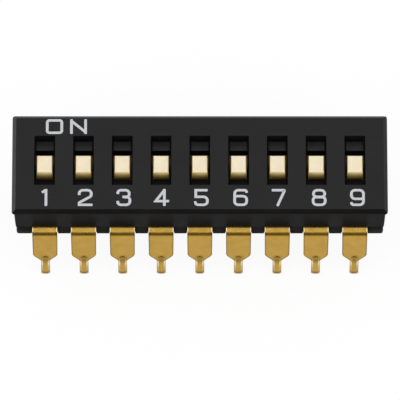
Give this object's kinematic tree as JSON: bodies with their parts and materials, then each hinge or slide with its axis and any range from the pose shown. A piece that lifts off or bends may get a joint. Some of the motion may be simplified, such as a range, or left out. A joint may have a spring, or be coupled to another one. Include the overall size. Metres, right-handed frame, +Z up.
{
  "type": "dip switch",
  "caption": "Slide DIP switch: a flat black moulded body with a row of small cream sliders in slots, and bent-down gold terminals along both sides for a circuit board.",
  "frame": {"origin": "middle of the switch at the level of the terminal tips", "axes": "+X from the first position to the last, +Y towards the ON side, +Z up through the top face"},
  "size_m": [0.0246, 0.0092, 0.0072],
  "materials": {
    "black_plastic": "fine matt moulded",
    "cream_plastic": "smooth moulded",
    "gold_contact": "thin gold plating",
    "white_print": "thin printed ink"
  },
  "bodies": {
    "housing": {"cover": "black_plastic", "base": "black_plastic", "front_terminal_1": "gold_contact", "front_terminal_2": "gold_contact", "front_terminal_3": "gold_contact", "front_terminal_4": "gold_contact", "front_terminal_5": "gold_contact", "front_terminal_6": "gold_contact", "front_terminal_7": "gold_contact", "front_terminal_8": "gold_contact", "front_terminal_9": "gold_contact", "back_terminal_1": "gold_contact", "back_terminal_2": "gold_contact", "back_terminal_3": "gold_contact", "back_terminal_4": "gold_contact", "back_terminal_5": "gold_contact", "back_terminal_6": "gold_contact", "back_terminal_7": "gold_contact", "back_terminal_8": "gold_contact", "back_terminal_9": "gold_contact"},
    "switch_1": {"slider_1": "cream_plastic", "bridge_contact_1": "gold_contact"},
    "switch_2": {"slider_2": "cream_plastic", "bridge_contact_2": "gold_contact"},
    "switch_3": {"slider_3": "cream_plastic", "bridge_contact_3": "gold_contact"},
    "switch_4": {"slider_4": "cream_plastic", "bridge_contact_4": "gold_contact"},
    "switch_5": {"slider_5": "cream_plastic", "bridge_contact_5": "gold_contact"},
    "switch_6": {"slider_6": "cream_plastic", "bridge_contact_6": "gold_contact"},
    "switch_7": {"slider_7": "cream_plastic", "bridge_contact_7": "gold_contact"},
    "switch_8": {"slider_8": "cream_plastic", "bridge_contact_8": "gold_contact"},
    "switch_9": {"slider_9": "cream_plastic", "bridge_contact_9": "gold_contact"}
  },
  "joints": [
    {"name": "switch_1_slide", "type": "slide", "parent": "housing", "child": "switch_1", "axis": [0, 1, 0], "range_m": [0, 0.0007]},
    {"name": "switch_2_slide", "type": "slide", "parent": "housing", "child": "switch_2", "axis": [0, 1, 0], "range_m": [0, 0.0007]},
    {"name": "switch_3_slide", "type": "slide", "parent": "housing", "child": "switch_3", "axis": [0, 1, 0], "range_m": [0, 0.0007]},
    {"name": "switch_4_slide", "type": "slide", "parent": "housing", "child": "switch_4", "axis": [0, 1, 0], "range_m": [0, 0.0007]},
    {"name": "switch_5_slide", "type": "slide", "parent": "housing", "child": "switch_5", "axis": [0, 1, 0], "range_m": [0, 0.0007]},
    {"name": "switch_6_slide", "type": "slide", "parent": "housing", "child": "switch_6", "axis": [0, 1, 0], "range_m": [0, 0.0007]},
    {"name": "switch_7_slide", "type": "slide", "parent": "housing", "child": "switch_7", "axis": [0, 1, 0], "range_m": [0, 0.0007]},
    {"name": "switch_8_slide", "type": "slide", "parent": "housing", "child": "switch_8", "axis": [0, 1, 0], "range_m": [0, 0.0007]},
    {"name": "switch_9_slide", "type": "slide", "parent": "housing", "child": "switch_9", "axis": [0, 1, 0], "range_m": [0, 0.0007]}
  ]
}
